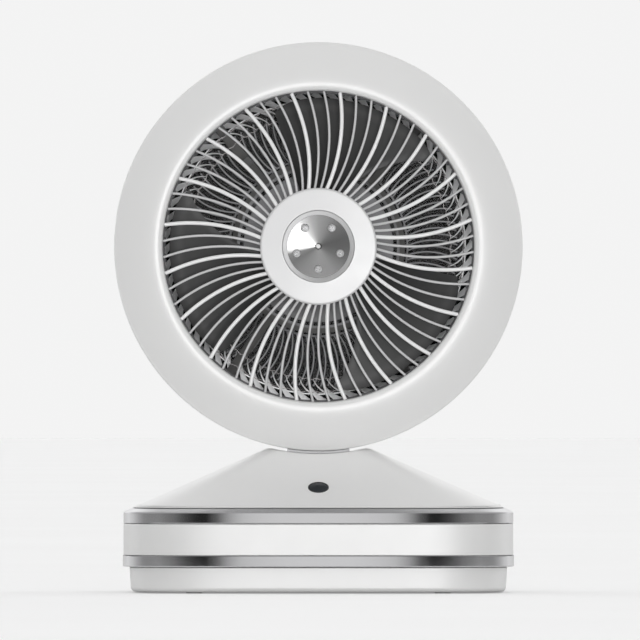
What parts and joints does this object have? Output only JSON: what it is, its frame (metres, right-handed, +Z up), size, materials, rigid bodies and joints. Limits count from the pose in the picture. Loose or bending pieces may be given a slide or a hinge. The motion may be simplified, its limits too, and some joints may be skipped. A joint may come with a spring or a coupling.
{
  "type": "floor fan",
  "caption": "Round-headed fan heater with a curved-spoke grille on a tilting neck, over a rounded pyramid base with chrome bands that swings on a plinth.",
  "frame": {"origin": "bottom centre of the feet, on the surface that the fan stands on, which is also the oscillation axis", "axes": "+Z up, -Y towards the front grille, +X to the right seen from the front"},
  "size_m": [0.31, 0.24, 0.4175],
  "materials": {
    "white_gloss": "glossy white moulded plastic",
    "grille_white": "glossy white moulded plastic, fine spokes",
    "white_matte": "plain unpolished plastic",
    "grey_plastic": "satin mid-grey plastic",
    "dark_plastic": "satin dark grey plastic",
    "chrome": "polished chrome plating",
    "steel": "plain zinc-plated steel",
    "aluminium": "spun aluminium",
    "brass": "plain turned brass",
    "rubber": "black rubber",
    "mica": "dark mica-like insulating board",
    "board": "green circuit board",
    "smoke_lens": "dark infrared window"
  },
  "bodies": {
    "base": {"plinth_shell": "white_gloss", "bottom_plate": "grey_plastic", "ballast_plate": "steel", "foot_1": "rubber", "foot_2": "rubber", "foot_3": "rubber", "foot_4": "rubber", "base_screw_1": "steel", "base_screw_2": "steel", "cord_gland": "rubber", "slide_ring": "white_matte", "pivot_spindle": "steel", "fixed_gear": "white_matte", "retaining_ring": "steel"},
    "turret": {"turntable_plate": "white_matte", "pivot_bush": "brass", "lower_trim_band": "chrome", "body_band": "white_gloss", "upper_trim_band": "chrome", "pyramid_cover": "white_gloss", "support_frame": "steel", "oscillation_motor": "steel", "neck": "grey_plastic", "ir_window": "smoke_lens", "ir_receiver": "dark_plastic", "control_panel": "grey_plastic", "control_board": "board"},
    "drive_pinion": {"pinion": "white_matte"},
    "rocker": {"power_switch": "dark_plastic"},
    "key_1": {"button_1": "grey_plastic"},
    "key_2": {"button_2": "grey_plastic"},
    "key_3": {"button_3": "grey_plastic"},
    "key_4": {"button_4": "grey_plastic"},
    "head": {"front_ring": "white_gloss", "rear_shell": "white_gloss", "air_duct": "grey_plastic", "front_grille": "grille_white", "rear_grille": "grey_plastic", "hub_cap": "grille_white", "hub_badge": "aluminium", "hub_screw_1": "steel", "hub_screw_2": "steel", "hub_screw_3": "steel", "hub_screw_4": "steel", "hub_screw_5": "steel", "motor_can": "steel", "motor_end_cap": "aluminium", "motor_bearing": "brass", "stator": "steel", "heater_frame": "mica", "heater_ring_inner": "steel", "heater_ring_outer": "steel", "thermal_cutout": "white_matte", "tilt_bracket": "steel", "hinge_bolt": "steel", "friction_washer_1": "rubber", "friction_washer_2": "rubber"},
    "blower": {"impeller": "dark_plastic", "motor_shaft": "steel", "spinner_nut": "brass"}
  },
  "joints": [
    {"name": "oscillation", "type": "hinge", "parent": "base", "child": "turret", "pos_m": [0, 0, 0.022], "axis": [0, 0, 1], "range_deg": [-45, 45]},
    {"name": "pinion_spin", "type": "hinge", "parent": "turret", "child": "drive_pinion", "pos_m": [0, 0.02515, 0.032], "axis": [0, 0, 1], "range_deg": [-180, 180]},
    {"name": "head_tilt", "type": "hinge", "parent": "turret", "child": "head", "pos_m": [0, 0.005, 0.124], "axis": [1, 0, 0], "range_deg": [-20, 0]},
    {"name": "impeller_spin", "type": "hinge", "parent": "head", "child": "blower", "pos_m": [0, 0, 0.2625], "axis": [0, -1, 0], "continuous": true},
    {"name": "power_rocker", "type": "hinge", "parent": "turret", "child": "rocker", "pos_m": [0.028, 0.08197, 0.084], "axis": [1, 0, 0], "range_deg": [-6, 6]},
    {"name": "press_1", "type": "slide", "parent": "turret", "child": "key_1", "axis": [0, -0.5192, -0.8546], "range_m": [0, 0.001], "stiffness_N_per_m": 400, "springref_m": -0.001},
    {"name": "press_2", "type": "slide", "parent": "turret", "child": "key_2", "axis": [0, -0.5192, -0.8546], "range_m": [0, 0.001], "stiffness_N_per_m": 400, "springref_m": -0.001},
    {"name": "press_3", "type": "slide", "parent": "turret", "child": "key_3", "axis": [0, -0.5192, -0.8546], "range_m": [0, 0.001], "stiffness_N_per_m": 400, "springref_m": -0.001},
    {"name": "press_4", "type": "slide", "parent": "turret", "child": "key_4", "axis": [0, -0.5192, -0.8546], "range_m": [0, 0.001], "stiffness_N_per_m": 400, "springref_m": -0.001}
  ],
  "couplings": [
    {"joint": "pinion_spin", "follows": "oscillation", "ratio": 4}
  ]
}
